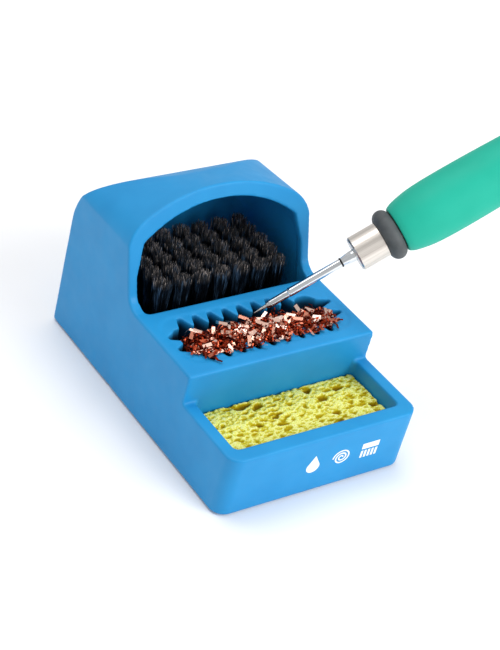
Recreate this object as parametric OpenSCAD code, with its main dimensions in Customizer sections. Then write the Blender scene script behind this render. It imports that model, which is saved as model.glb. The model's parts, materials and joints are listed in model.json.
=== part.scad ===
// Bench stand for cleaning soldering tips: a sponge well in front, a toothed slot of copper wool
// on the middle deck and a hooded brush behind, with a cartridge iron laid tip-down in the wool.
// Millimetres. +X is to the right, +Y to the back, +Z up. The origin is on the bench, under the
// middle of the stand's base.

/* [Stand] */
// Width of the stand at its base
base_w = 65; // [64.6:0.2:66]
// Depth of the stand at its base, front to back
base_l = 104.4; // [104:0.2:106]
// Height of the sponge well's rim above the housing's lower edge
rim_h = 22; // [21.6:0.2:22.6]
// Height of the middle deck above the housing's lower edge
deck_h = 32.5; // [32.2:0.1:33]
// Thickness of the housing's outer walls
wall = 2.4; // [2.3:0.1:2.5]
// How far the anti-slip pad stands out below the housing
pad_proud = 0.6; // [0.4:0.1:1]

/* [Sponge] */
// Inside width of the sponge well
well_w = 56.4; // [55:0.2:57]
// Inside depth of the sponge well, front to back
well_l = 23; // [22.6:0.1:23.2]
// Thickness of the sponge
sponge_t = 8; // [6:0.5:9]

/* [Wool slot] */
// Spacing of the scraping teeth along the slot
tooth_pitch = 5.1; // [5:0.05:5.2]
// Depth of the notch between two teeth
notch_depth = 4.8; // [4:0.1:5]
// Width of a notch at its mouth
notch_mouth = 4.3; // [3.6:0.1:4.6]

/* [Brush] */
// Tufts from side to side
tuft_cols = 7; // [3:1:7]
// Tufts from front to back
tuft_rows = 5; // [2:1:5]
// Radius of one tuft
tuft_r = 2.5; // [1.5:0.1:2.8]
// Height of the bristle tips above the housing's lower edge
bristle_top = 39.6; // [36:0.2:40]

/* [Hood] */
// Slope of the hood's roof, down towards the back, in degrees
roof_fall = 19.9; // [18:0.1:21]
// Lean of the hood's front face, back from upright, in degrees
face_lean = 12.9; // [12:0.1:14]
// Height of the hood's arch above the foot of its face
arch_h = 29.95; // [29:0.05:30.5]

/* [Iron] */
// Rise of the iron above level, in degrees
iron_rise = 31.8; // [30:0.1:34]
// Swing of the iron forward from the +X direction, in degrees
iron_swing = 11.8; // [10:0.1:14]
// Diameter of the heater tube
tube_d = 2.7; // [2.4:0.1:3]
// Diameter of the metal collar
collar_d = 11; // [10:0.1:11.4]
// Largest diameter of the grip
grip_d = 18.9; // [18:0.1:19.5]

/* [Hidden] */

$fn = 64;
blue = "#3497d6";

// Front-to-back stations of the housing
front_y = -base_l / 2;
back_y = base_l / 2;
front_lean = 0.133;
rim_y = front_y - front_lean * rim_h;
well_front_y = rim_y + 5.1;
well_back_y = well_front_y + well_l;
deck_lean = 0.143;
ledge = 0.15;
deck_front_y = well_back_y + ledge - deck_lean * (deck_h - rim_h);
deck_back_y = front_y + 56;
face_y = front_y + 60.8;
face_z = deck_h + 3;
side_draft = 0.016;
back_lean = 0.12;

// The hood is an arch at its face and a square-shouldered box at its back: where the two outlines
// lie along the roof, how far the roof climbs over the arch's own line, and the back's shoulders
loft_front = 4;
loft_back = -54;
crest_rise = 6.63;
rear_half_w = 33;
rear_shoulder_r = 5;

// Corner and edge radii of the housing
front_corner_r = 4.5;
back_corner_r = 1.2;
roof_r = 50;
shoulder_r = 13;
arch_half_w = 32.05;
back_round_r = 30;
mouth_r = 2;

// Floor levels, measured from the housing's lower edge
recess_h = 6;
well_floor_z = 9;
sponge_top_z = well_floor_z + sponge_t;
brush_top_z = 20;
comb_bottom_z = 20;
tray_floor_z = 7.4;
wool_top_z = 31.4;
wool_bottom_z = 7.5;

// Wool slot: the rectangle that touches the tooth tips
slot_x0 = -25;
slot_x1 = 24.6;
slot_y0 = front_y + 34.1;
slot_y1 = front_y + 46.2;
slot_mid_y = (slot_y0 + slot_y1) / 2;
notch_tip_w = 1.1;
field_w = 58.8;
field_l = 23.4;
field_depth = 0.25;

// Clearances
gap = 0.3;
fit_gap = 0.05;

// Iron: where its point lies, and stations along its axis from the point
iron_point = [2, -7.6, 32.8];
cone_l = 4.7;
sleeve_end = 11.7;
ring_at = 29.8;
collar_at = 34.8;
ring_front = 44;
grip_front = 49.4;
grip_back = 112;
cap_back = 134;
inlet_back = 142;

// Raises a piece that is measured from the housing's lower edge
module above_bench() {
    translate([0, 0, pad_proud]) children();
}

// Extrudes a side outline, given as (y, z), across the stand
module across(half_w) {
    translate([-half_w, 0, 0]) rotate([90, 0, 90]) linear_extrude(2 * half_w) children();
}

// Extrudes an arch outline, given as (x, height), along the hood's roof line
module along_hood(ahead, behind) {
    translate([0, face_y, face_z]) rotate([90 - roof_fall, 0, 0])
        translate([0, 0, -behind]) linear_extrude(ahead + behind) children();
}

// A thin slice of an outline, given as (x, height), at a station along the hood's roof line
module hood_slice(at) {
    along_hood(at + 0.02, -at) children();
}

// Places a turned piece, drawn upright from the point, on the iron's axis
module on_iron() {
    translate(iron_point + [0, 0, pad_proud])
        rotate([0, 90 - iron_rise, -iron_swing]) children();
}

// A turned piece from its (radius, station) outline
module turned(points) {
    on_iron() rotate_extrude($fn = 96) polygon(points);
}

// Points along an arc, from one angle to another, in equal steps
function arc(centre, r, from, to, steps) = [
    for (i = [0 : steps]) let (a = from + (to - from) * i / steps) centre + r * [cos(a), sin(a)]
];

// Both halves of an outline that is the same left and right, given its right half from the bottom
function mirrored(half) = concat(half, [for (i = [len(half) - 1 : -1 : 0]) [-half[i][0], half[i][1]]]);

// The hood's outer arch: upright sides, round shoulders and a flat crown
module arch_outline() {
    shoulder_x = arch_half_w - shoulder_r;
    crown_y = arch_h - roof_r;
    shoulder_y = crown_y + sqrt(pow(roof_r - shoulder_r, 2) - pow(shoulder_x, 2));
    meet = atan2(shoulder_y - crown_y, shoulder_x);
    polygon(mirrored(concat(
        [[arch_half_w, -60]], arc([shoulder_x, shoulder_y], shoulder_r, 0, meet, 14),
        arc([0, crown_y], roof_r, meet + 2.5, 89, 12)
    )));
}

// The outline at the hood's back: upright sides and a flat top between small shoulders
module rear_outline(side, top) {
    corner = [side - rear_shoulder_r, top - rear_shoulder_r];
    polygon(mirrored(concat([[side, -60]], arc(corner, rear_shoulder_r, 0, 90, 8))));
}

// The hood's mouth: upright sides that lean in to a shallow arch
module mouth_outline(side, corner, crown, r, foot) {
    spring = acos(corner / r);
    polygon(mirrored(concat(
        [[side, foot], [side, 6]], arc([0, crown - r], r, spring, 89, 16)
    )));
}

// The roof's own slope, and the crest's front end, as (y, z)
crest_fall = roof_fall - atan(crest_rise / (loft_front - loft_back));
crest_at = [face_y, face_z] + arch_h * [sin(roof_fall), cos(roof_fall)]
    + loft_front * [-cos(roof_fall), sin(roof_fall)];

// Directions square to the back wall and to the roof, both pointing out, as (y, z)
back_out = [1, back_lean] / norm([1, back_lean]);
roof_out = [sin(crest_fall), cos(crest_fall)];

// Centre of the rounding between the two: the radius inside the back wall, and a little less than
// the radius under the roof's crest, so that the round crosses the crest at a slight angle
cross_angle = 6;
to_back = back_out * [back_y, 0] - back_round_r;
to_roof = roof_out * crest_at - back_round_r * cos(cross_angle);
det = back_out[0] * roof_out[1] - back_out[1] * roof_out[0];
back_round_at = [
    (to_back * roof_out[1] - back_out[1] * to_roof) / det,
    (back_out[0] * to_roof - roof_out[0] * to_back) / det
];

// Side outline of the hood, drawn in by an inset; its roof stands just clear of the arch's crest
module hood_side(inset) {
    r = back_round_r - inset;
    foot_y = face_y - tan(face_lean) * face_z + inset / cos(face_lean);
    roof_start = back_round_at + r * roof_out;
    roof_end = roof_start + 32 * [-roof_out[1], roof_out[0]];
    polygon(concat(
        [[foot_y, 0], [back_y - inset / back_out[0], 0]],
        arc(back_round_at, r, atan(back_lean), 90 - crest_fall, 24),
        [[foot_y + tan(face_lean) * roof_end[1], roof_end[1]]]
    ));
}

// Side outline of the base, the sponge well's rim, the deck and the ramp up to the hood
module base_side() {
    polygon([
        [front_y, 0], [rim_y, rim_h], [well_back_y + ledge, rim_h], [deck_front_y, deck_h],
        [deck_back_y, deck_h], [deck_back_y + 2.2, deck_h + 0.5], [deck_back_y + 3.8, deck_h + 1.6],
        [face_y, face_z], [face_y + 4, face_z], [face_y + 4, 0]
    ]);
}

// What the rounding takes off the upright corner between a side and an end wall, whose foot is at
// y: the side's draft and the wall's lean are both followed
module corner_waste(y, lean, r, tall) {
    bite = 0.03;
    end = sign(y);
    translate([base_w / 2, y, 0]) rotate([atan(lean), -atan(side_draft), 0])
        translate([bite - r, end * (bite - r), -2]) linear_extrude(tall) mirror([0, (1 - end) / 2, 0])
            polygon(concat(arc([0, 0], r, 0, 90, 10), [[0, 3 * r], [3 * r, 3 * r], [3 * r, 0]]));
}

// The housing's outer form, before anything is hollowed out of it
module housing_solid() {
    difference() {
        housing_block();
        for (m = [0, 1]) mirror([m, 0, 0]) {
            corner_waste(back_y, back_lean, back_corner_r, 80);
            corner_waste(front_y, front_lean, front_corner_r, rim_h + 6);
        }
    }
}

module housing_block() {
    half = base_w / 2;
    tall = 80;
    intersection() {
        translate([0, 80, 0]) rotate([90, 0, 0]) linear_extrude(160)
            polygon([
                [-half, 0], [half, 0], [half - side_draft * tall, tall],
                [side_draft * tall - half, tall]
            ]);
        union() {
            across(half + 2) base_side();
            intersection() {
                across(half + 2) hood_side(0);
                hull() {
                    hood_slice(loft_front) arch_outline();
                    hood_slice(loft_back) rear_outline(rear_half_w, arch_h + crest_rise);
                }
            }
        }
    }
}

// The slot's toothed outline in order round the slot, drawn in by a clearance: each side is the
// line through the tooth tips, broken by its notches
function notch(at, depth, c) = [
    [at + c - notch_mouth / 2, 0], [at + 0.6 * c - notch_tip_w / 2, depth],
    [at - 0.6 * c + notch_tip_w / 2, depth], [at - c + notch_mouth / 2, 0]
];
function front_side(c) = [
    for (i = [-4 : 4], p = notch(i * tooth_pitch, notch_depth, c)) [p[0], slot_y0 + c - p[1]]
];
function right_side(c) = [
    for (s = [-3, 3], p = notch(s, 4.2, c)) [slot_x1 - c + p[1], slot_mid_y + p[0]]
];
function back_side(c) = [
    for (i = [-3 : 4], p = notch(i * tooth_pitch, notch_depth, c)) [-p[0], slot_y1 - c + p[1]]
];
function left_side(c) = [
    for (s = [-3, 3], p = notch(s, 3, c)) [slot_x0 + c - p[1], slot_mid_y - p[0]]
];

module slot_outline(c) {
    polygon(concat(
        [[slot_x0 + c, slot_y0 + c]], front_side(c), [[slot_x1 - c, slot_y0 + c]], right_side(c),
        [[slot_x1 - c, slot_y1 - c]], back_side(c), [[slot_x0 + c, slot_y1 - c]], left_side(c)
    ));
    translate([slot_x1 - 3.6, slot_y1 - 1.4]) circle(3.5 - c, $fn = 48);
}

// The sponge well's hollow between two levels, drawn in by a clearance; it leans forward as it
// rises, as the deck's front wall does
module well_space(floor_z, top_z, c) {
    lean = atan(deck_lean);
    intersection() {
        translate([0, (well_front_y + well_back_y) / 2, rim_h]) rotate([lean, 0, 0])
            translate([0, 0, -30]) linear_extrude(60)
                round_rect(well_w - 2 * c, (well_l - 2 * c) * cos(lean), 1.8);
        translate([-50, -80, floor_z]) cube([100, 100, top_z - floor_z]);
    }
}

// A rectangle with rounded corners, from its centre
module round_rect(w, l, r) {
    polygon(mirrored(concat(
        arc([w / 2 - r, r - l / 2], r, -90, 0, 8), arc([w / 2 - r, l / 2 - r], r, 0, 90, 8)
    )));
}

// Base recess, screws and pad, all in plan
recess_w = base_w - 2 * wall;
recess_l = base_l - 2 * wall - 2;
screw_x = 25.5;
screw_y = 46;
screw_r = 1.25;
boss_r = 3.2;
pad_w = 44;
pad_l = 84;

// Brush pit, in plan
pit_x = 28.7;
pit_y0 = deck_back_y - 0.6;
pit_y1 = back_y - 11.4;
pit_mid_y = (pit_y0 + pit_y1) / 2;
pit_l = pit_y1 - pit_y0;
tuft_pitch_x = 6.8;
tuft_pitch_y = 6;
tuft_front_y = front_y + 61.5;

// Wool chamber under the deck, in plan
chamber_w = recess_w - 0.4;
chamber_l = 24;
chamber_y = front_y + 40.15;

module screw_places() {
    for (x = [-1, 1], y = [-1, 1]) translate([x * screw_x, y * screw_y, 0]) children();
}

module shell() {
    color(blue) above_bench() difference() {
        housing_solid();
        // sponge well
        well_space(well_floor_z, rim_h + 2, 0);
        // faint sunken field round the slot
        translate([0.4, slot_mid_y, deck_h - field_depth])
            linear_extrude(2) round_rect(field_w, field_l, 7);
        // toothed slot, and the chamber below it for the tray
        translate([0, 0, comb_bottom_z - 1]) linear_extrude(20) slot_outline(0);
        translate([0, chamber_y, -1])
            linear_extrude(comb_bottom_z + 1) round_rect(chamber_w, chamber_l, 1.5);
        // brush pit, from the base up through the ramp
        translate([0, pit_mid_y, -1])
            linear_extrude(face_z + 1.7) round_rect(2 * pit_x, pit_l, mouth_r);
        // mouth in the hood's face, and the wider hollow behind it
        intersection() {
            across(40) hood_side(-1);
            along_hood(20, 12) mouth_outline(28.85, 26.5, 25.5, 41.5, -3);
        }
        intersection() {
            across(40) hood_side(wall);
            hull() {
                hood_slice(loft_front) mouth_outline(29.4, 28.6, 26.3, 42.5, -60);
                hood_slice(loft_back) rear_outline(30.5, arch_h + crest_rise - wall - 0.4);
            }
            translate([0, 0, brush_top_z]) linear_extrude(60)
                translate([0, 12]) round_rect(58.8, 70, 8);
        }
        // recess for the ballast and the base plate, around the four screw bosses
        difference() {
            translate([0, 0, -1]) linear_extrude(recess_h + 1) round_rect(recess_w, recess_l, 3);
            screw_places() translate([0, 0, 2.6]) cylinder(h = 10, r = boss_r);
        }
        screw_places() translate([0, 0, -1]) cylinder(h = 8.4, r = screw_r - 0.25);
    }
}

module wool_tray() {
    skin = 0.9;
    w = chamber_w - 2 * gap;
    l = chamber_l - 2 * gap;
    color("#0d2433") above_bench() translate([0, chamber_y, recess_h]) difference() {
        linear_extrude(comb_bottom_z - recess_h - 0.1) round_rect(w, l, 1.5);
        translate([0, 0, tray_floor_z - recess_h])
            linear_extrude(20) round_rect(w - 2 * skin, l - 2 * skin, 1);
    }
}

module brush_base() {
    color("#1b2a36") above_bench() translate([0, pit_mid_y, recess_h])
        linear_extrude(brush_top_z - recess_h) round_rect(2 * (pit_x - gap), pit_l - 2 * gap, 2);
}

module bristles() {
    color("#14171a") above_bench()
        for (i = [0 : tuft_cols - 1], j = [0 : tuft_rows - 1])
            translate([
                (i - (tuft_cols - 1) / 2) * tuft_pitch_x, tuft_front_y + j * tuft_pitch_y, brush_top_z
            ])
                cylinder(h = bristle_top - brush_top_z, r = tuft_r, $fn = 24);
}

module ballast_plate() {
    color("#8b8f92") above_bench() difference() {
        translate([0, 0, 2.8]) linear_extrude(recess_h - 2.8)
            round_rect(recess_w - 1, recess_l - 1, 2.5);
        screw_places() translate([0, 0, 1]) cylinder(h = 8, r = boss_r + 0.3);
    }
}

module base_plate() {
    color("#22272b") above_bench() difference() {
        translate([0, 0, 0.3]) linear_extrude(2.2) round_rect(recess_w - 0.4, recess_l - 0.4, 2.8);
        screw_places() {
            translate([0, 0, -1]) cylinder(h = 8, r = screw_r + 0.1);
            translate([0, 0, -1]) cylinder(h = 2.2, r = 2.5);
        }
        translate([0, 0, -1]) linear_extrude(2.1) round_rect(pad_w + 0.2, pad_l + 0.2, 4.1);
    }
}

module base_screws() {
    color("#9aa0a4") above_bench() screw_places() difference() {
        union() {
            translate([0, 0, 0.4]) cylinder(h = 0.8, r = 2.3);
            translate([0, 0, 0.4]) cylinder(h = 6.4, r = screw_r - 0.3);
        }
        for (a = [0, 90]) rotate(a) translate([-1.2, -0.2, 0]) cube([2.4, 0.4, 0.8]);
    }
}

module base_pad() {
    color("#2b2d2f") linear_extrude(pad_proud + 1.1) round_rect(pad_w, pad_l, 4);
}

module sponge() {
    color("#d9d84e") above_bench() well_space(well_floor_z + 0.05, sponge_top_z, gap);
}

module copper_wool() {
    color("#a4512b") above_bench() translate([0, 0, wool_bottom_z])
        linear_extrude(wool_top_z - wool_bottom_z) slot_outline(gap);
}

module tip() {
    color("#d8d6d0") turned([
        [0, 0], [0.12, 0.1], [0.34, 1.6], [0.62, cone_l - 0.6], [0.8, cone_l], [0.8, sleeve_end],
        [0, sleeve_end]
    ]);
}

module tip_sleeve() {
    color("#c9ccce") turned([
        [0.85, cone_l + 0.2], [1.0, cone_l + 0.2], [1.16, cone_l + 0.9], [1.22, sleeve_end - 0.7],
        [1.22, sleeve_end], [0.85, sleeve_end]
    ]);
}

module crimp_pin() {
    // two dimples that grip the tip, either side of the tube
    color("#dfe1e2") on_iron() for (s = [-1, 1])
        translate([s * (tube_d / 2 - 0.1), 0, sleeve_end + 0.8])
            rotate([0, 90, 0]) translate([0, 0, -0.1]) cylinder(h = 0.42, r = 0.45, center = true);
}

module heater_tube() {
    r = tube_d / 2;
    color("#d2d5d7") on_iron() difference() {
        rotate_extrude($fn = 96) polygon([
            [0, sleeve_end + 0.1], [1.24, sleeve_end + 0.1], [r, sleeve_end + 0.5], [r, ring_at],
            [0, ring_at]
        ]);
        for (s = [-1, 1]) translate([s * (r - 0.1), 0, sleeve_end + 0.8])
            rotate([0, 90, 0]) translate([0, 0, -0.1]) cylinder(h = 0.46, r = 0.5, center = true);
    }
}

module insulating_ring() {
    color("#17191b") turned([
        [0, ring_at + 0.02], [tube_d / 2 + 0.12, ring_at + 0.02], [tube_d / 2 + 0.12, ring_at + 0.5],
        [0, ring_at + 0.5]
    ]);
}

module cartridge_neck() {
    r = tube_d / 2;
    color("#cfd2d4") turned([
        [0, ring_at + 0.55], [r + 0.05, ring_at + 0.55], [r + 0.35, ring_at + 2.6], [r + 0.5, collar_at - 1],
        [r + 0.5, grip_front + 26], [0, grip_front + 26]
    ]);
}

module collar() {
    bore = tube_d / 2 + 0.55;
    r = collar_d / 2;
    color("#bdb9b4") turned([
        [bore, collar_at], [r - 0.45, collar_at], [r, collar_at + 0.45], [r, ring_front - 0.1],
        [r - 1.2, ring_front - 0.1], [r - 1.2, grip_front + 6], [bore, grip_front + 6]
    ]);
}

module rubber_ring() {
    inner = collar_d / 2 - 1.2 + fit_gap;
    outer = 8;
    mid = (ring_front + grip_front) / 2;
    half = (grip_front - ring_front) / 2 - 0.05;
    color("#4a5052") on_iron() rotate_extrude($fn = 96) {
        translate([outer - half, mid]) circle(half, $fn = 48);
        translate([inner, mid - half]) square([outer - half - inner, 2 * half]);
    }
}

module grip() {
    inner = 5.3;
    r = grip_d / 2;
    nose = grip_front + 0.05;
    color("#30c6a6") turned([
        [inner, nose], [6.9, nose], [7.35, nose + 0.5], [8.05, nose + 2.2], [8.75, nose + 5.5],
        [9.2, nose + 9], [r, nose + 14], [r, nose + 26], [r - 0.3, nose + 38], [r - 0.8, grip_back - 8],
        [r - 1.1, grip_back - 1.2], [r - 1.7, grip_back], [inner, grip_back]
    ]);
}

module handle_tube() {
    outer = 5.3 - fit_gap;
    inner = 4.35;
    color("#2a2e31") turned([
        [inner, grip_front + 0.4], [outer, grip_front + 0.4], [outer, grip_back + 8],
        [inner, grip_back + 8]
    ]);
}

module contact_socket() {
    color("#e6e2d6") on_iron() translate([0, 0, grip_front + 26.3]) difference() {
        cylinder(h = 14, r = 4.2);
        for (a = [0, 120, 240]) rotate(a) translate([2.2, 0, -1]) cylinder(h = 16, r = 0.62, $fn = 24);
    }
}

module contact_pins() {
    color("#c8a24a") on_iron() for (a = [0, 120, 240])
        rotate(a) translate([2.2, 0, grip_front + 26.4]) cylinder(h = 17, r = 0.55, $fn = 24);
}

module rear_cap() {
    front = grip_back + 0.1;
    color("#33383b") turned([
        [5.3, front], [7.4, front], [7.5, front + 0.8], [7.2, front + 8], [6.2, cap_back - 3],
        [5.2, cap_back - 0.6], [4.6, cap_back], [3.2, cap_back], [3.2, front + 8.4], [5.3, front + 8.4]
    ]);
}

module cord_inlet() {
    front = grip_back + 9;
    color("#1f2224") turned([
        [1.9, front], [3.1, front], [3.1, cap_back + 0.1], [4, cap_back + 0.1], [3.5, inlet_back - 0.5],
        [3.1, inlet_back], [1.9, inlet_back]
    ]);
}

shell();
wool_tray();
brush_base();
bristles();
ballast_plate();
base_plate();
base_screws();
base_pad();
sponge();
copper_wool();
tip();
tip_sleeve();
crimp_pin();
heater_tube();
insulating_ring();
cartridge_neck();
collar();
rubber_ring();
grip();
handle_tube();
contact_socket();
contact_pins();
rear_cap();
cord_inlet();
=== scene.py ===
import json
import math
import random

import bmesh
import bpy
import numpy as np
from mathutils import Matrix, Vector, noise


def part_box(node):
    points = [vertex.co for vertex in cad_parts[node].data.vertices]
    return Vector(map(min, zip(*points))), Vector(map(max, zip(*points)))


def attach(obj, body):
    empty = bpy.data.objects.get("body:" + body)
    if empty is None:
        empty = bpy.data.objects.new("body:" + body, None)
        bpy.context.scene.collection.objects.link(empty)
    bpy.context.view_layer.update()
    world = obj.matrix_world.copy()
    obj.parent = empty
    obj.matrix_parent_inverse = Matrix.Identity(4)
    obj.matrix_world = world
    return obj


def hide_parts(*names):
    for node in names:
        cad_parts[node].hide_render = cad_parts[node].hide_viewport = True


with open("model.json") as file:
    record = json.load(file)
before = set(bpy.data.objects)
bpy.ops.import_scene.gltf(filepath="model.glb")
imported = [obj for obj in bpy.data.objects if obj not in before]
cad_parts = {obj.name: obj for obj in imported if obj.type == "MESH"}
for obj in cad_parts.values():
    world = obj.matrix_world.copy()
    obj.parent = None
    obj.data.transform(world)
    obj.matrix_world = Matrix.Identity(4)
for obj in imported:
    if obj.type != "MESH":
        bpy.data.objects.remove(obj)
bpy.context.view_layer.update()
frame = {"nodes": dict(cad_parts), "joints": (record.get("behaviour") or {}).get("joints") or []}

MM = 0.001
NODES = frame["nodes"]
SCENE = bpy.context.scene

# Levels and stations of the stand, in millimetres
DECK_Z = 33.1
RIM_Z = 22.6
STEP_Y = -26.876
STEP_LEAN = 0.143
SLOT_X = (-25.0, 24.6)
SLOT_Y = (-18.1, -6.0)
TOOTH_PITCH = 5.1
NOTCH_DEPTH = 4.8
NOTCH_MOUTH = 4.3
NOTCH_TIP = 1.1

# The front face, from its lower edge to the rim, as (y, z)
FACE_FOOT = (-52.2, 0.6)
FACE_RIM = (-55.126, RIM_Z)

# How fine the meshes are that replace CAD nodes
HOUSING_CELL = 0.4
SPONGE_CELL = 0.26
JOIN_GAP = 2e-6

# noise_vector follows the clock unless it is given a seed
PORE_SEED = 1794965394


# ---------------------------------------------------------------- meshes

def add_mesh(name, verts, faces, smooth=True):
    """A new object from vertices in millimetres."""
    mesh = bpy.data.meshes.new(name)
    mesh.from_pydata((np.asarray(verts, float) * MM).tolist(), [], faces)
    mesh.validate()
    mesh.update()
    return add_object(name, mesh, smooth)


def add_object(name, mesh, smooth=True):
    mesh.polygons.foreach_set("use_smooth", [smooth] * len(mesh.polygons))
    ob = bpy.data.objects.new(name, mesh)
    SCENE.collection.objects.link(ob)
    return ob


def add_value(ob, name, values):
    """A number for each vertex, for the materials to read."""
    layer = ob.data.attributes.new(name, "FLOAT", "POINT")
    layer.data.foreach_set("value", np.asarray(values, np.float32))


def remeshed(node, voxel):
    """A copy of a CAD node's mesh, made of even small quads."""
    bm = bmesh.new()
    bm.from_mesh(NODES[node].data)
    bmesh.ops.remove_doubles(bm, verts=bm.verts, dist=JOIN_GAP)
    joined = bpy.data.meshes.new(node + "_joined")
    bm.to_mesh(joined)
    bm.free()
    ob = bpy.data.objects.new(node + "_remeshed", joined)
    SCENE.collection.objects.link(ob)
    cells = ob.modifiers.new("cells", "REMESH")
    cells.mode = "VOXEL"
    cells.voxel_size = voxel * MM
    shaped = ob.evaluated_get(bpy.context.evaluated_depsgraph_get())
    mesh = bpy.data.meshes.new_from_object(shaped)
    mesh.materials.clear()
    bpy.data.objects.remove(ob)
    return mesh


def points_of(mesh):
    co = np.empty(len(mesh.vertices) * 3)
    mesh.vertices.foreach_get("co", co)
    return co.reshape(-1, 3) / MM


def normals_of(mesh):
    no = np.empty(len(mesh.vertices) * 3)
    mesh.vertices.foreach_get("normal", no)
    return no.reshape(-1, 3)


def put_points(mesh, co):
    mesh.vertices.foreach_set("co", (co * MM).ravel())
    mesh.update()


def relax(mesh, passes):
    """Evens a mesh out, which rounds its edges."""
    co = points_of(mesh)
    count = len(co)
    edges = np.empty(len(mesh.edges) * 2, np.int32)
    mesh.edges.foreach_get("vertices", edges)
    a, b = edges.reshape(-1, 2).T
    degree = np.bincount(edges, minlength=count)[:, None]
    for _ in range(passes):
        total = np.stack(
            [
                np.bincount(a, co[b, k], count) + np.bincount(b, co[a, k], count)
                for k in range(3)
            ],
            axis=1,
        )
        co += 0.5 * (total / degree - co)
    put_points(mesh, co)


def smoothstep(low, high, value):
    t = np.clip((value - low) / (high - low), 0, 1)
    return t * t * (3 - 2 * t)


# ---------------------------------------------------------------- materials

def rgb(red, green, blue):
    """A colour given as 0 to 255 in the usual encoding, made linear."""
    linear = [
        c / 12.92 if c <= 0.04045 else ((c + 0.055) / 1.055) ** 2.4
        for c in (red / 255, green / 255, blue / 255)
    ]
    return (*linear, 1)


class Paint:
    """A node material with short calls for the nodes that it is made of."""

    def __init__(self, name, roughness=0.5, metallic=0.0, specular=0.5):
        self.material = bpy.data.materials.new(name)
        self.material.use_nodes = True
        self.nodes = self.material.node_tree.nodes
        self.links = self.material.node_tree.links
        self.shader = self.nodes["Principled BSDF"]
        self.set("Roughness", roughness)
        self.set("Metallic", metallic)
        self.set("Specular IOR Level", specular)
        self.where = self.nodes.new("ShaderNodeTexCoord").outputs["Object"]

    def set(self, socket, value):
        self.shader.inputs[socket].default_value = value

    def join(self, output, socket):
        self.links.new(output, self.shader.inputs[socket])

    def stretched(self, scale, turn=None):
        """Coordinates scaled along each axis, after a turn."""
        where = self.where
        if turn is not None:
            first = self.nodes.new("ShaderNodeMapping")
            first.inputs["Rotation"].default_value = turn
            self.links.new(where, first.inputs["Vector"])
            where = first.outputs[0]
        node = self.nodes.new("ShaderNodeMapping")
        node.inputs["Scale"].default_value = scale
        self.links.new(where, node.inputs["Vector"])
        return node.outputs[0]

    def grain(self, size_mm, detail=3.0, where=None, rough=0.55):
        """Noise whose grains are about this large."""
        node = self.nodes.new("ShaderNodeTexNoise")
        node.inputs["Scale"].default_value = 1000.0 / size_mm
        node.inputs["Detail"].default_value = detail
        node.inputs["Roughness"].default_value = rough
        self.links.new(where or self.where, node.inputs["Vector"])
        return node.outputs[0]

    def cells(self, size_mm, where=None):
        node = self.nodes.new("ShaderNodeTexVoronoi")
        node.inputs["Scale"].default_value = 1000.0 / size_mm
        self.links.new(where or self.where, node.inputs["Vector"])
        return node.outputs["Distance"]

    def web(self, size_mm, where=None):
        """Distance from the thin walls between cells, for the painted light on the walls."""
        node = self.nodes.new("ShaderNodeTexVoronoi")
        node.feature = "DISTANCE_TO_EDGE"
        node.inputs["Scale"].default_value = 1000.0 / size_mm
        self.links.new(where or self.where, node.inputs["Vector"])
        return node.outputs["Distance"]

    def value(self, name):
        """A mesh's own number for each vertex."""
        node = self.nodes.new("ShaderNodeAttribute")
        node.attribute_name = name
        return node.outputs["Fac"]

    def ramp(self, factor, stops):
        node = self.nodes.new("ShaderNodeValToRGB")
        band = node.color_ramp
        while len(band.elements) < len(stops):
            band.elements.new(0.5)
        for element, (place, colour) in zip(band.elements, stops):
            element.position = place
            element.color = colour
        self.links.new(factor, node.inputs[0])
        return node.outputs[0]

    def between(self, factor, low, high, from_low=0.3, from_high=0.7):
        """A number that runs from low to high as the factor rises."""
        node = self.nodes.new("ShaderNodeMapRange")
        for socket, number in zip(
            ("From Min", "From Max", "To Min", "To Max"), (from_low, from_high, low, high)
        ):
            node.inputs[socket].default_value = number
        self.links.new(factor, node.inputs[0])
        return node.outputs[0]

    def math(self, kind, one, two):
        node = self.nodes.new("ShaderNodeMath")
        node.operation = kind
        for socket, item in zip(node.inputs, (one, two)):
            if isinstance(item, (int, float)):
                socket.default_value = item
            else:
                self.links.new(item, socket)
        return node.outputs[0]

    def mix(self, factor, one, two):
        node = self.nodes.new("ShaderNodeMix")
        node.data_type = "RGBA"
        for socket, item in ((0, factor), (6, one), (7, two)):
            if isinstance(item, (int, float, tuple)):
                node.inputs[socket].default_value = item
            else:
                self.links.new(item, node.inputs[socket])
        return node.outputs[2]

    def bump(self, height, depth_mm, strength=1.0):
        node = self.nodes.new("ShaderNodeBump")
        node.inputs["Strength"].default_value = strength
        node.inputs["Distance"].default_value = depth_mm * MM
        self.links.new(height, node.inputs["Height"])
        if self.shader.inputs["Normal"].is_linked:
            before = self.shader.inputs["Normal"].links[0].from_socket
            self.links.new(before, node.inputs["Normal"])
        self.join(node.outputs[0], "Normal")


def moulded(name, light, dark, rough=(0.42, 0.52), grain=0.35, depth=0.012, deep=None):
    """Moulded plastic: a fine eroded grain, with slow drifts of tone and gloss.

    deep is a vertex value's name and the colour of the painted shade that it brings in."""
    paint = Paint(name, specular=0.27)
    colour = paint.ramp(paint.grain(14, 2), [(0.35, dark), (0.65, light)])
    # Painted shade: the deep colour is mixed in as far as the vertex value says.
    if deep:
        colour = paint.mix(paint.value(deep[0]), colour, deep[1])
    paint.join(colour, "Base Color")
    fine = paint.grain(grain, 2)
    paint.join(paint.between(paint.grain(5, 3), *rough), "Roughness")
    paint.bump(fine, depth, 0.6)
    return paint.material


def brushed(name, light, dark, turn, length=0.03, rough=(0.22, 0.38), streak=0.5):
    """Metal drawn or ground along an axis."""
    paint = Paint(name, metallic=1.0)
    along = paint.stretched((1, 1, length), turn)
    lines = paint.grain(streak, 4, along, 0.7)
    paint.join(paint.ramp(lines, [(0.3, dark), (0.7, light)]), "Base Color")
    paint.join(paint.between(lines, *rough), "Roughness")
    paint.bump(lines, 0.006, 0.5)
    return paint.material


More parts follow.
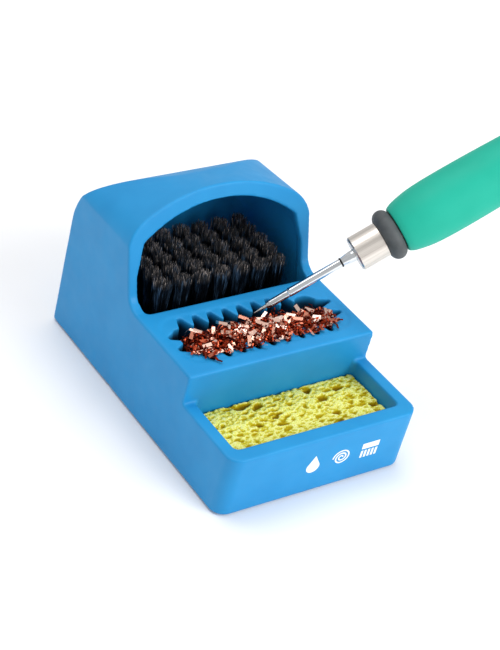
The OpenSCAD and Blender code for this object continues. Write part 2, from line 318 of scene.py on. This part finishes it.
def rubber(name, light, dark, rough=(0.5, 0.68), grain=0.22, depth=0.02):
    paint = Paint(name, specular=0.35)
    paint.join(paint.ramp(paint.grain(3, 4), [(0.3, dark), (0.7, light)]), "Base Color")
    fine = paint.grain(grain, 3)
    paint.join(paint.between(fine, *rough), "Roughness")
    paint.bump(fine, depth, 0.7)
    return paint.material


def paint_node(node, material):
    """Gives a CAD node its finished material."""
    mesh = NODES[node].data
    mesh.materials.clear()
    mesh.materials.append(material)
    mesh.polygons.foreach_set("material_index", [0] * len(mesh.polygons))


def dress(ob, material, body):
    ob.data.materials.append(material)
    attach(ob, body)
    return ob


# ---------------------------------------------------------------- the iron's axis

AXIS = Vector(next(j for j in frame["joints"] if j["name"] == "iron_draw")["axis"]).normalized()
POINT = min((v.co for v in NODES["tip"].data.vertices), key=lambda co: co.dot(AXIS)) / MM
ALONG_IRON = AXIS.rotation_difference(Vector((0, 0, 1)))
TURN = tuple(ALONG_IRON.to_euler("XYZ"))
SIDE = AXIS.cross(Vector((0, 0, 1))).normalized()
OVER = SIDE.cross(AXIS)


def curve_through(points, steps):
    """Smooth points through (radius, station) pairs."""
    p = [points[0], *points, points[-1]]
    out = []
    for i in range(1, len(p) - 2):
        p0, p1, p2, p3 = (np.array(q, float) for q in p[i - 1 : i + 3])
        for s in range(steps):
            t = s / steps
            out.append(
                0.5
                * (
                    2 * p1
                    + (p2 - p0) * t
                    + (2 * p0 - 5 * p1 + 4 * p2 - p3) * t * t
                    + (3 * p1 - p0 - 3 * p2 + p3) * t ** 3
                )
            )
    out.append(np.array(points[-1], float))
    return out


def turned(name, profile, sides=128):
    """A ring-shaped solid on the iron's axis, from its closed (radius, station) outline."""
    verts = []
    for radius, station in profile:
        for k in range(sides):
            angle = 2 * math.pi * k / sides
            around = SIDE * math.cos(angle) + OVER * math.sin(angle)
            verts.append(POINT + AXIS * float(station) + around * float(radius))
    faces = []
    rings = len(profile)
    for r in range(rings):
        upper = (r + 1) % rings
        for k in range(sides):
            n = (k + 1) % sides
            faces.append((r * sides + k, upper * sides + k, upper * sides + n, r * sides + n))
    ob = add_mesh(name, [tuple(v) for v in verts], faces)
    fix_normals(ob)
    return ob


def fix_normals(ob):
    bm = bmesh.new()
    bm.from_mesh(ob.data)
    bmesh.ops.recalc_face_normals(bm, faces=bm.faces)
    bm.to_mesh(ob.data)
    bm.free()


# ---------------------------------------------------------------- housing

def level_step(mesh):
    """Carries the deck's front wall straight down into the sponge well, past the rim's level."""
    ledge, half_w, reach = 0.15, 27, 8.6
    co = points_of(mesh)
    x, y, z = co.T
    wall_y = STEP_Y - STEP_LEAN * (z - RIM_Z)
    faded = ledge * smoothstep(RIM_Z - 9, RIM_Z, z)
    near = (np.abs(x) < half_w) & (z > RIM_Z - reach) & (z < RIM_Z + 1)
    near &= np.abs(wall_y - y) < 0.4
    below = near & (z < RIM_Z)
    co[below, 1] = (wall_y - ledge + faded)[below]
    above = near & (z >= RIM_Z)
    co[above, 1] = wall_y[above]
    put_points(mesh, co)


def slot_painted_shade(mesh):
    """How much painted shade darkens each vertex: none on the deck, most down in the wool's slot.
    """
    x, y, z = points_of(mesh).T
    reach, most = NOTCH_DEPTH + 0.7, 0.92
    inside = (x > SLOT_X[0] - reach) & (x < SLOT_X[1] + reach)
    inside &= (y > SLOT_Y[0] - reach) & (y < SLOT_Y[1] + reach)
    return most * inside * (1 - smoothstep(DECK_Z - 3.6, DECK_Z - 0.35, z))


def build_housing():
    mesh = remeshed("shell", HOUSING_CELL)
    relax(mesh, 4)
    level_step(mesh)
    ob = add_object("housing", mesh)
    add_value(ob, "painted_shade", slot_painted_shade(mesh))
    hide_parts("shell")
    # Down in the wool's slot the blue darkens to deep navy rgb(5, 24, 40): painted shade.
    blue = moulded(
        "moulded_blue", rgb(34, 145, 206), rgb(31, 140, 201), deep=("painted_shade", rgb(5, 24, 40))
    )
    dress(ob, blue, "stand")


# ---------------------------------------------------------------- brush

def build_brush():
    """Every bristle is a thin three-sided tube that leans out from its tuft's foot."""
    rng = np.random.default_rng(11)
    lo, hi = (np.array(c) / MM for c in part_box("bristles"))
    cols, rows, hairs = 7, 5, 300
    radius, foot_spread, tip_spread = 2.5, 1.5, 2.72
    xs = np.linspace(lo[0] + radius, hi[0] - radius, cols)
    ys = np.linspace(lo[1] + radius, hi[1] - radius, rows)
    foot_z, top_z = lo[2], hi[2]
    rings = np.array([0.0, 0.3, 0.6, 0.85, 1.0])
    sides = 3
    verts, shade, height = [], [], []
    for x in xs:
        for y in ys:
            lean = rng.normal(0, 0.2, 2)
            for _ in range(hairs):
                a, r = rng.uniform(0, 2 * math.pi), math.sqrt(rng.uniform(0, 1))
                out = np.array([math.cos(a), math.sin(a)]) * r
                foot = np.array([x, y]) + out * foot_spread
                tip = np.array([x, y]) + out * tip_spread + lean + rng.normal(0, 0.34, 2)
                mid = foot * 0.66 + tip * 0.34 + rng.normal(0, 0.12, 2)
                tall = (top_z - foot_z) * (1 - 0.055 * r * r) - abs(rng.normal(0, 0.5))
                thick = rng.uniform(0.05, 0.08)
                # tone sets how bright the painted highlight on this hair's tip is.
                tone = rng.uniform(0, 1)
                spin = rng.uniform(0, 2.1)
                for t in rings:
                    c = foot * (1 - t) ** 2 + 2 * mid * t * (1 - t) + tip * t * t
                    w = thick * (1.0 if t < 0.8 else 1.25 - 0.75 * (t - 0.8) / 0.2)
                    for k in range(sides):
                        b = spin + 2 * math.pi * k / sides
                        spot = (c[0] + w * math.cos(b), c[1] + w * math.sin(b))
                        verts.append((*spot, foot_z + t * tall))
                        shade.append(tone)
                        height.append(t)
    per = len(rings) * sides
    faces = []
    for h in range(len(verts) // per):
        base = h * per
        for r in range(len(rings) - 1):
            for k in range(sides):
                n = (k + 1) % sides
                low, high = base + r * sides, base + (r + 1) * sides
                faces.append((low + k, low + n, high + n, high + k))
        faces.append(tuple(base + per - sides + k for k in range(sides)))
        faces.append(tuple(base + k for k in reversed(range(sides))))
    ob = add_mesh("brush_tufts", verts, faces)
    add_value(ob, "tone", shade)
    add_value(ob, "height", height)
    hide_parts("bristles")

    nylon = Paint("nylon_bristle", roughness=0.42, specular=0.28)
    height = nylon.value("height")
    # Blue-grey streaks on the sides, fading out towards the near-black foot: painted reflection of
    # the blue housing and the key light.
    streak = nylon.grain(1.5, 3, nylon.stretched((1, 1, 0.12)), 0.65)
    side = nylon.ramp(
        streak, [(0.38, rgb(5, 7, 10)), (0.53, rgb(17, 25, 36)), (0.66, rgb(88, 122, 156))]
    )
    body = nylon.mix(nylon.between(height, 0.0, 1.0, 0.25, 0.6), rgb(4, 6, 9), side)
    # Light grey to near-white tips on some hairs: painted highlights where light catches the tips.
    painted_tip_highlight = nylon.ramp(
        nylon.value("tone"),
        [
            (0.0, rgb(7, 8, 10)),
            (0.62, rgb(18, 19, 22)),
            (0.82, rgb(62, 60, 63)),
            (1.0, rgb(222, 208, 200)),
        ],
    )
    nylon.join(nylon.mix(nylon.between(height, 0.0, 1.0, 0.9, 0.99), body, painted_tip_highlight), "Base Color")
    dress(ob, nylon.material, "stand")


# ---------------------------------------------------------------- wool

def in_slot(x, y, room=0.35):
    """True where a point lies in the slot or in one of its notches, clear of the walls."""
    if SLOT_X[0] + room < x < SLOT_X[1] - room and SLOT_Y[0] + room < y < SLOT_Y[1] - room:
        return True
    i = round(x / TOOTH_PITCH)
    deep = max(SLOT_Y[0] - y, y - SLOT_Y[1])
    last = 4 if y < SLOT_Y[0] + room else 3
    if not -4 <= i <= last or deep > NOTCH_DEPTH - room:
        return False
    share = max(deep, 0) / NOTCH_DEPTH
    half = (NOTCH_MOUTH + (NOTCH_TIP - NOTCH_MOUTH) * share) / 2
    return abs(x - i * TOOTH_PITCH) < half - room


def wool_top(x, y):
    """Height of the wool's surface: heaped at the front of the slot, sinking to the back."""
    across = (y - SLOT_Y[0]) / (SLOT_Y[1] - SLOT_Y[0])
    top = DECK_Z + 0.7 - 7.5 * smoothstep(0.52, 0.98, across)
    top -= 5.0 * smoothstep(6, 16, x) * smoothstep(0.35, 0.8, across)
    top -= 0.8 * smoothstep(20, 25, abs(x))
    top += 1.6 * math.exp(-((x - 0.5) ** 2 + (y + 9.6) ** 2) / 8)
    return top + 0.9 * noise.noise(Vector((x * 0.35, y * 0.35, 3.0)))


class Ribbons:
    """Flat strips of copper, each a closed thin band."""

    def __init__(self, seed):
        self.rng = random.Random(seed)
        self.verts, self.faces, self.tone = [], [], []

    def add(self, rings, width, tone):
        """rings are (centre, across, out) along the strip."""
        half_thick = 0.045
        base = len(self.verts)
        for centre, across, out in rings:
            for side, lift in ((-1, -1), (1, -1), (1, 1), (-1, 1)):
                self.verts.append(centre + across * (side * width / 2) + out * (lift * half_thick))
                self.tone.append(tone)
        for r in range(len(rings) - 1):
            for k in range(4):
                n = (k + 1) % 4
                low, high = base + 4 * r, base + 4 * (r + 1)
                self.faces.append((low + k, low + n, high + n, high + k))
        end = base + 4 * (len(rings) - 1)
        self.faces.append((base + 3, base + 2, base + 1, base))
        self.faces.append((end, end + 1, end + 2, end + 3))

    def folded(self, start, along, out, pieces, width, reach=(1.1, 2.6)):
        """A strip of flat lengths with a fold between each two."""
        rng, rings = self.rng, []
        centre = start.copy()
        for _ in range(pieces):
            across = along.cross(out).normalized()
            length = width * rng.uniform(*reach)
            rings.append((centre.copy(), across, out.copy()))
            centre = centre + along * length
            rings.append((centre.copy(), across, out.copy()))
            fold = Matrix.Rotation(rng.choice((-1, 1)) * rng.uniform(0.4, 1.5), 3, across)
            twist = Matrix.Rotation(rng.uniform(-0.5, 0.5), 3, along)
            along = (twist @ (fold @ along)).normalized()
            out = (twist @ (fold @ out)).normalized()
            centre = centre + along * 0.16
        return rings

    def curled(self, start, along, out, turns, radius, rise):
        """A strip wound in a loose curl."""
        across = along.cross(out).normalized()
        steps = max(6, int(turns * 12))
        rings = []
        for s in range(steps + 1):
            angle = 2 * math.pi * turns * s / steps
            spoke = out * math.cos(angle) + along * math.sin(angle)
            centre = start + spoke * radius + across * (rise * angle / (2 * math.pi))
            rings.append((centre, across, spoke))
        return rings


def unit(rng, flat=1.0):
    """A random direction, squeezed towards level when flat is small."""
    while True:
        v = Vector((rng.uniform(-1, 1), rng.uniform(-1, 1), rng.uniform(-1, 1) * flat))
        if 0.1 < v.length < 1:
            return v.normalized()


def clear_of_walls(rings):
    """True where a strip keeps within the slot or above the deck, and off the iron."""
    over_deck, highest, lowest = DECK_Z + 0.15, DECK_Z + 1.9, 8.6
    for centre, _, _ in rings:
        if centre.z < over_deck and not in_slot(centre.x, centre.y):
            return False
        if centre.z > highest or centre.z < lowest:
            return False
        if clear_of_iron(centre) < 0.0:
            return False
    return True


def clear_of_iron(centre):
    """Distance from the iron's cone and tube, less what a strip needs."""
    rel = centre - POINT
    station = rel.dot(AXIS)
    radius = (rel - AXIS * station).length
    own = 0.3 + 0.11 * max(min(station, 9), 0)
    return radius - own if station > -0.3 else 1.0


def build_wool():
    ribbons = Ribbons(5)
    rng = ribbons.rng

    def lay(place, flat, count, broad=0.08, small=0.55):
        """Adds strips: shares of broad flats and of small folded ones, and curls for the rest."""
        done = 0
        for _ in range(count * 12):
            if done == count:
                return
            start, out = place()
            along = unit(rng, flat)
            kind = rng.random()
            if kind < broad:
                along += Vector((rng.choice((-1, 1)) * 0.9, 0, 0))
            along = (along - out * along.dot(out)).normalized()
            if kind < broad:
                width, tone = rng.uniform(0.85, 1.25), rng.uniform(0.72, 1.0)
                rings = ribbons.folded(start, along, out, rng.choice((1, 1, 2)), width, (2.0, 3.6))
            elif kind < small:
                width, tone = rng.uniform(0.35, 0.75), 0.76 * rng.random() ** 1.5
                rings = ribbons.folded(start, along, out, rng.choice((2, 3, 4, 5)), width)
            else:
                width, tone = rng.uniform(0.25, 0.55), 0.7 * rng.random() ** 1.3
                turns, radius = rng.uniform(0.5, 1.6), rng.uniform(0.5, 1.2)
                rings = ribbons.curled(start, along, out, turns, radius, rng.uniform(0.8, 2))
            if clear_of_walls(rings):
                ribbons.add(rings, width, tone)
                done += 1

    def on_top():
        x = rng.uniform(SLOT_X[0] + 0.6, SLOT_X[1] - 0.6)
        y = SLOT_Y[0] - 2.4 + (SLOT_Y[1] - SLOT_Y[0] + 2.6) * rng.random() ** 1.15
        z = wool_top(x, y) - 2.4 * rng.random() ** 1.5
        return Vector((x, y, z)), (Vector((0, -0.25, 1)) + 0.75 * unit(rng)).normalized()

    def flat_on_top():
        x = rng.uniform(SLOT_X[0] + 0.6, SLOT_X[1] - 0.6)
        y = SLOT_Y[0] - 1.6 + (SLOT_Y[1] - SLOT_Y[0] - 0.6) * rng.random()
        z = wool_top(x, y) + rng.uniform(0.1, 0.7)
        return Vector((x, y, z)), (Vector((-0.35, -0.5, 1)) + 0.4 * unit(rng)).normalized()

    def over_teeth():
        x = rng.uniform(SLOT_X[0] + 0.2, SLOT_X[1] - 0.2)
        ahead = 4.2 * math.sqrt(max(0.0, 1 - (abs(x) / 25.5) ** 6))
        y = SLOT_Y[0] + 1.2 - (ahead + 1.2) * rng.random()
        z = DECK_Z + 0.25 + 1.1 * rng.random() ** 1.4 * smoothstep(-ahead - 0.4, 0, y - SLOT_Y[0])
        return Vector((x, y, z)), (Vector((0, -0.2, 1)) + 0.25 * unit(rng)).normalized()

    def below_top():
        x = rng.uniform(SLOT_X[0] + 0.6, SLOT_X[1] - 0.6)
        y = rng.uniform(SLOT_Y[0] - 2.0, SLOT_Y[1] + 1.5)
        return Vector((x, y, wool_top(x, y) - rng.uniform(1.8, 5.5))), unit(rng)

    def on_sides():
        z = rng.uniform(9, 28)
        if rng.random() < 0.8:
            x = rng.uniform(SLOT_X[0] + 0.8, SLOT_X[1] - 0.8)
            y = rng.choice((SLOT_Y[0] + rng.uniform(-1.8, 1.4), SLOT_Y[1] - rng.uniform(-1.8, 1.4)))
            out = Vector((0, 1, 0))
        else:
            x = rng.choice((SLOT_X[0] + rng.uniform(0.5, 2), SLOT_X[1] - rng.uniform(0.5, 2)))
            y = rng.uniform(SLOT_Y[0] + 0.6, SLOT_Y[1] - 0.6)
            out = Vector((1, 0, 0))
        return Vector((x, y, z)), (out + 0.6 * unit(rng)).normalized()

    def underneath():
        x = rng.uniform(SLOT_X[0] + 0.8, SLOT_X[1] - 0.8)
        y = rng.uniform(SLOT_Y[0] + 0.5, SLOT_Y[1] - 0.5)
        place = Vector((x, y, rng.uniform(8.8, 10.6)))
        return place, (Vector((0, 0, 1)) + 0.6 * unit(rng)).normalized()

    lay(on_top, 0.6, 1000, broad=0.03, small=0.45)
    lay(over_teeth, 0.3, 400, broad=0.06, small=0.8)
    lay(flat_on_top, 0.3, 80, broad=0.9)
    lay(below_top, 0.8, 420)
    lay(on_sides, 1.0, 620)
    lay(underneath, 0.6, 160)
    ob = add_mesh("wool_turnings", [tuple(v) for v in ribbons.verts], ribbons.faces, smooth=False)
    add_value(ob, "tone", ribbons.tone)
    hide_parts("copper_wool")

    copper = Paint("copper_turnings", metallic=1.0)
    tone = copper.ramp(
        copper.value("tone"),
        [
            (0.0, rgb(104, 30, 14)),
            (0.45, rgb(158, 56, 32)),
            (0.72, rgb(212, 106, 74)),
            (0.8, rgb(240, 184, 160)),
            (1.0, rgb(255, 226, 212)),
        ],
    )
    stain = copper.grain(0.9, 4)
    darker = copper.between(stain, 0.0, 0.45, 0.5, 0.75)
    copper.join(copper.mix(darker, tone, rgb(96, 30, 16)), "Base Color")
    copper.join(copper.between(stain, 0.2, 0.42), "Roughness")
    copper.bump(copper.grain(0.35, 3), 0.02, 0.8)
    dress(ob, copper.material, "wool")

    core = wool_core()
    dress(core, copper_core_painted_shade().material, "wool")


def wool_core():
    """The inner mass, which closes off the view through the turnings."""
    bm = bmesh.new()
    bmesh.ops.create_cube(bm, size=2)
    bmesh.ops.subdivide_edges(bm, edges=bm.edges, cuts=40, use_grid_fill=True)
    half_x = (SLOT_X[1] - SLOT_X[0]) / 2 - 1.6
    half_y = (SLOT_Y[1] - SLOT_Y[0]) / 2 - 1.3
    mid_x, mid_y = sum(SLOT_X) / 2, sum(SLOT_Y) / 2
    floor_z = 10.2
    for v in bm.verts:
        x, y = mid_x + v.co.x * half_x, mid_y + v.co.y * half_y
        share = (v.co.z + 1) / 2
        z = floor_z + share * (wool_top(x, y) - 3.6 - floor_z)
        place = Vector((x, y, z))
        knot = 0.9 * noise.noise(place * 0.9) + 0.5 * noise.noise(place * 2.3)
        v.co = (place + v.co.normalized() * knot) * MM
    mesh = bpy.data.meshes.new("wool_core")
    bm.to_mesh(mesh)
    bm.free()
    return add_object("wool_core", mesh, smooth=False)


def copper_core_painted_shade():
    paint = Paint("copper_core_painted_shade", metallic=0.9, roughness=0.5)
    # Copper painted very dark, darkest in the fold hollows: painted shade inside the wool and down
    # in the slot.
    folds_and_shade = paint.cells(0.9)
    paint.join(
        paint.ramp(folds_and_shade, [(0.1, rgb(20, 8, 6)), (0.5, rgb(70, 26, 16)), (0.9, rgb(130, 54, 34))]),
        "Base Color",
    )
    paint.bump(folds_and_shade, 0.3, 1.0)
    return paint


# ---------------------------------------------------------------- sponge

def build_sponge():
    """Cellulose sponge: open pores in three sizes, drawn out along its length."""
    noise.seed_set(PORE_SEED)
    mesh = remeshed("sponge", SPONGE_CELL)
    relax(mesh, 4)
    co = points_of(mesh)
    out = normals_of(mesh)
    depth = np.zeros(len(co))

    def pores(p, size, seed, keep, edge, deep):
        """Depth at p of one size of pore; only a share of its cells hold one."""
        q = Vector((p[0] / (size * 1.7) + seed, p[1] / size, p[2] / size))
        q += 0.35 * noise.noise_vector(q * 1.3)
        gaps, spots = noise.voronoi(q)
        if abs(noise.cell(spots[0] * 7.3)) > keep:
            return 0.0
        t = min(max((edge - gaps[0]) / (edge * 0.4), 0), 1)
        return deep * t * t * (3 - 2 * t)

    for i, p in enumerate(co):
        small = pores(p, 0.85, 3.1, 0.9, 0.58, 0.36)
        medium = pores(p, 1.8, 11.7, 0.7, 0.44, 0.75)
        large = pores(p, 3.7, 23.9, 0.85, 0.34, 1.5)
        crumb = 0.16 * abs(noise.noise(Vector(p) * 1.9))
        depth[i] = max(small, medium, large) + crumb
    put_points(mesh, co - out * depth[:, None])
    relax(mesh, 1)
    ob = add_object("sponge_pad", mesh)
    add_value(ob, "depth", np.clip(depth / 1.5, 0, 1))
    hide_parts("sponge")

    paint = Paint("cellulose_sponge", roughness=0.9, specular=0.15)
    cells = paint.cells(0.5)
    depth_value = paint.value("depth")
    level = paint.math("ADD", depth_value, paint.math("MULTIPLY", cells, 0.1))
    # The yellow darkens and deepens with the pores' depth: painted shade in the pores.
    inner = paint.ramp(
        level,
        [
            (0.0, rgb(236, 234, 116)),
            (0.14, rgb(222, 218, 80)),
            (0.28, rgb(200, 186, 30)),
            (0.5, rgb(176, 152, 10)),
            (1.0, rgb(140, 112, 4)),
        ],
    )
    # The cell walls on the open top are painted paler: painted light where the surface catches it.
    walls = paint.between(paint.web(0.75), 0.9, 0.0, 0.02, 0.2)
    open_top = paint.between(depth_value, 1.0, 0.0, 0.04, 0.3)
    pale = paint.math("MULTIPLY", walls, open_top)
    paint.join(paint.mix(pale, inner, rgb(246, 246, 172)), "Base Color")
    paint.bump(cells, 0.12, 0.8)
    paint.set("Subsurface Weight", 0.15)
    paint.set("Subsurface Scale", 0.001)
    paint.set("Subsurface Radius", (1.0, 0.8, 0.2))
    dress(ob, paint.material, "sponge")


# ---------------------------------------------------------------- iron

def build_iron():
    nose, back = 49.45, 112.0
    outline = [
        (6.9, 0.0), (7.35, 0.5), (8.05, 2.2), (8.75, 5.5), (9.2, 9), (9.45, 15), (9.42, 26),
        (9.15, 38), (8.65, 54), (8.3, 61.4),
    ]
    skin = curve_through([(r, nose + s) for r, s in outline], 8)
    rear = [(8.1, back - 0.6), (7.6, back)]
    ob = turned("grip_skin", [*skin, *rear, (5.3, back), (5.3, nose)])
    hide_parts("grip")
    green = moulded(
        "grip_green", rgb(30, 179, 154), rgb(26, 174, 149), rough=(0.5, 0.62), grain=0.3, depth=0.01
    )
    dress(ob, green, "iron")

    steel = brushed("sleeve_steel", rgb(222, 224, 226), rgb(190, 193, 197), TURN, 0.2, (0.12, 0.24))
    chrome = brushed(
        "tube_chrome", rgb(236, 239, 242), rgb(212, 216, 220), TURN, 0.05, (0.05, 0.14), 0.9
    )
    satin = brushed(
        "collar_satin", rgb(246, 240, 232), rgb(196, 188, 180), TURN, 0.012, (0.26, 0.44), 1.6
    )
    brass = brushed("pin_brass", rgb(214, 178, 92), rgb(182, 146, 66), TURN, 0.1)
    plated = Paint("tip_plate", metallic=1.0)
    tinned = plated.grain(0.6, 4)
    tones = [(0.3, rgb(176, 174, 170)), (0.7, rgb(236, 234, 230))]
    plated.join(plated.ramp(tinned, tones), "Base Color")
    plated.join(plated.between(tinned, 0.16, 0.36), "Roughness")
    plated.bump(tinned, 0.01, 0.6)
    paint_node("tip", plated.material)
    paint_node("tip_sleeve", steel)
    paint_node("crimp_pin", chrome)
    paint_node("heater_tube", chrome)
    paint_node("cartridge_neck", chrome)
    paint_node("collar", satin)
    paint_node("insulating_ring", moulded("ring_black", rgb(24, 26, 28), rgb(16, 17, 19)))
    paint_node("rubber_ring", rubber("ring_rubber", rgb(84, 88, 90), rgb(70, 74, 77)))
    paint_node("handle_tube", moulded("handle_dark", rgb(44, 48, 51), rgb(36, 39, 42)))
    paint_node("contact_socket", moulded("socket_white", rgb(232, 228, 216), rgb(222, 217, 204)))
    paint_node("contact_pins", brass)
    paint_node("rear_cap", moulded("cap_dark", rgb(54, 59, 62), rgb(45, 50, 53)))
    paint_node("cord_inlet", rubber("inlet_rubber", rgb(38, 40, 43), rgb(30, 32, 34)))


# ---------------------------------------------------------------- stand's other parts

def build_stand_parts():
    # The wool's liner is given dark navy, which also stands in for the shade down in the slot:
    # painted shade.
    paint_node("wool_tray", moulded("liner_navy", rgb(18, 44, 62), rgb(12, 34, 50)))
    paint_node("brush_base", moulded("brush_block", rgb(20, 40, 56), rgb(14, 31, 45)))
    paint_node("base_plate", moulded("plate_dark", rgb(40, 45, 49), rgb(31, 36, 40)))
    level = (0, math.pi / 2, 0)
    ballast = brushed("ballast_steel", rgb(150, 153, 156), rgb(118, 121, 125), level)
    screw = brushed("screw_steel", rgb(176, 178, 181), rgb(140, 143, 147), level)
    paint_node("ballast_plate", ballast)
    paint_node("base_screws", screw)
    paint_node("base_pad", rubber("pad_rubber", rgb(50, 52, 54), rgb(38, 40, 42), depth=0.05))


# ---------------------------------------------------------------- printed mark

def build_mark():
    """Three plain signs in white ink on the front face: a drop, a curl and a brush."""
    start = Vector((0, *FACE_FOOT))
    up = (Vector((0, *FACE_RIM)) - start).normalized()
    right = Vector((1, 0, 0))
    face_out = right.cross(up)
    ink_back, ink_front = 0.004, 0.03
    verts, faces = [], []

    def at(u, v, lift):
        return start + right * u + up * v + face_out * lift

    def slab(loop):
        """A thin closed plate of ink from an outline in order."""
        base, n = len(verts), len(loop)
        for lift in (ink_back, ink_front):
            verts.extend(at(u, v, lift) for u, v in loop)
        faces.append(tuple(base + k for k in reversed(range(n))))
        faces.append(tuple(base + n + k for k in range(n)))
        for k in range(n):
            m = (k + 1) % n
            faces.append((base + k, base + m, base + n + m, base + n + k))

    def stroke(line, width):
        left, right_side = [], []
        for i, (u, v) in enumerate(line):
            a = line[max(i - 1, 0)]
            b = line[min(i + 1, len(line) - 1)]
            length = math.hypot(b[0] - a[0], b[1] - a[1])
            nu, nv = (a[1] - b[1]) / length, (b[0] - a[0]) / length
            left.append((u + nu * width / 2, v + nv * width / 2))
            right_side.append((u - nu * width / 2, v - nv * width / 2))
        for k in range(len(line) - 1):
            slab([right_side[k], right_side[k + 1], left[k + 1], left[k]])

    def drop(u, v, size):
        loop = [(u, v + 1.25 * size)]
        r = 0.72 * size
        for k in range(33):
            a = math.radians(35 - 250 * k / 32)
            loop.append((u + r * math.cos(a), v - 0.25 * size + r * math.sin(a)))
        slab(loop[::-1])

    def curl(u, v, size):
        line = []
        for k in range(81):
            a = 2 * math.pi * 2.5 * k / 80
            r = size * (0.12 + 0.88 * k / 80)
            line.append((u + r * math.cos(a), v + r * math.sin(a)))
        stroke(line, 0.5)

    def plate(left, right_end, low, high):
        slab([(left, low), (right_end, low), (right_end, high), (left, high)])

    def brush(u, v, size):
        plate(u - size, u + size, v + 0.25 * size, v + size)
        for k in range(5):
            x = u + size * (k - 2) * 0.42
            plate(x - 0.13 * size, x + 0.13 * size, v - 0.95 * size, v + 0.02 * size)

    mid_height = 11.4
    drop(-2.6, mid_height, 3.1)
    curl(7.2, mid_height, 3.0)
    brush(17.2, mid_height, 3.0)
    ob = add_mesh("printed_mark", [tuple(v) for v in verts], faces, smooth=False)
    fix_normals(ob)
    ink = Paint("white_ink", roughness=0.5)
    tones = [(0.3, rgb(236, 240, 244)), (0.7, rgb(252, 253, 255))]
    ink.join(ink.ramp(ink.grain(0.25, 3), tones), "Base Color")
    ink.bump(ink.grain(0.12, 2), 0.004, 0.5)
    dress(ob, ink.material, "stand")


# ---------------------------------------------------------------- studio

def area_light(name, place, aim, size, power):
    lamp = bpy.data.lights.new(name, "AREA")
    lamp.shape = "SQUARE"
    lamp.size = size
    lamp.energy = power
    ob = bpy.data.objects.new(name, lamp)
    SCENE.collection.objects.link(ob)
    ob.location = place
    ob.rotation_mode = "QUATERNION"
    ob.rotation_quaternion = (Vector(aim) - Vector(place)).to_track_quat("-Z", "Y")


def build_studio():
    half = 4.0 / MM
    corners = [(-half, -half, 0), (half, -half, 0), (half, half, 0), (-half, half, 0)]
    floor = add_mesh("floor", corners, [(0, 1, 2, 3)], smooth=False)
    pale = Paint("pale_floor", roughness=0.85, specular=0.1)
    tones = [(0.3, rgb(250, 250, 251)), (0.7, rgb(254, 254, 255))]
    pale.join(pale.ramp(pale.grain(60, 2), tones), "Base Color")
    floor.data.materials.append(pale.material)

    world = bpy.data.worlds.new("studio")
    world.use_nodes = True
    SCENE.world = world
    sky = world.node_tree.nodes["Background"]
    sky.inputs["Color"].default_value = (1, 1, 1, 1)
    sky.inputs["Strength"].default_value = 0.6
    aim = (0, -0.01, 0.03)
    area_light("key", (0.44, -0.98, 0.62), aim, 0.8, 10.2)
    area_light("top", (-0.1, 0.25, 1.1), aim, 0.8, 5.6)
    SCENE.view_settings.view_transform = "Standard"


def build_camera():
    lens = bpy.data.cameras.new("camera")
    lens.lens = 94.4
    lens.sensor_width = 36
    lens.clip_start = 0.01
    lens.clip_end = 20
    ob = bpy.data.objects.new("camera", lens)
    SCENE.collection.objects.link(ob)
    SCENE.camera = ob
    place = Vector((-0.25162, -0.34262, 0.31777))
    right = Vector((0.84432, -0.51735, 0.13954))
    behind = Vector((-0.49659, -0.65763, 0.56650)).normalized()
    right = (right - behind * right.dot(behind)).normalized()
    up = behind.cross(right)
    turn = Matrix((right, up, behind)).transposed().to_4x4()
    ob.matrix_world = Matrix.Translation(place) @ turn


build_camera()
build_studio()
build_housing()
build_brush()
build_wool()
build_sponge()
build_iron()
build_stand_parts()
build_mark()
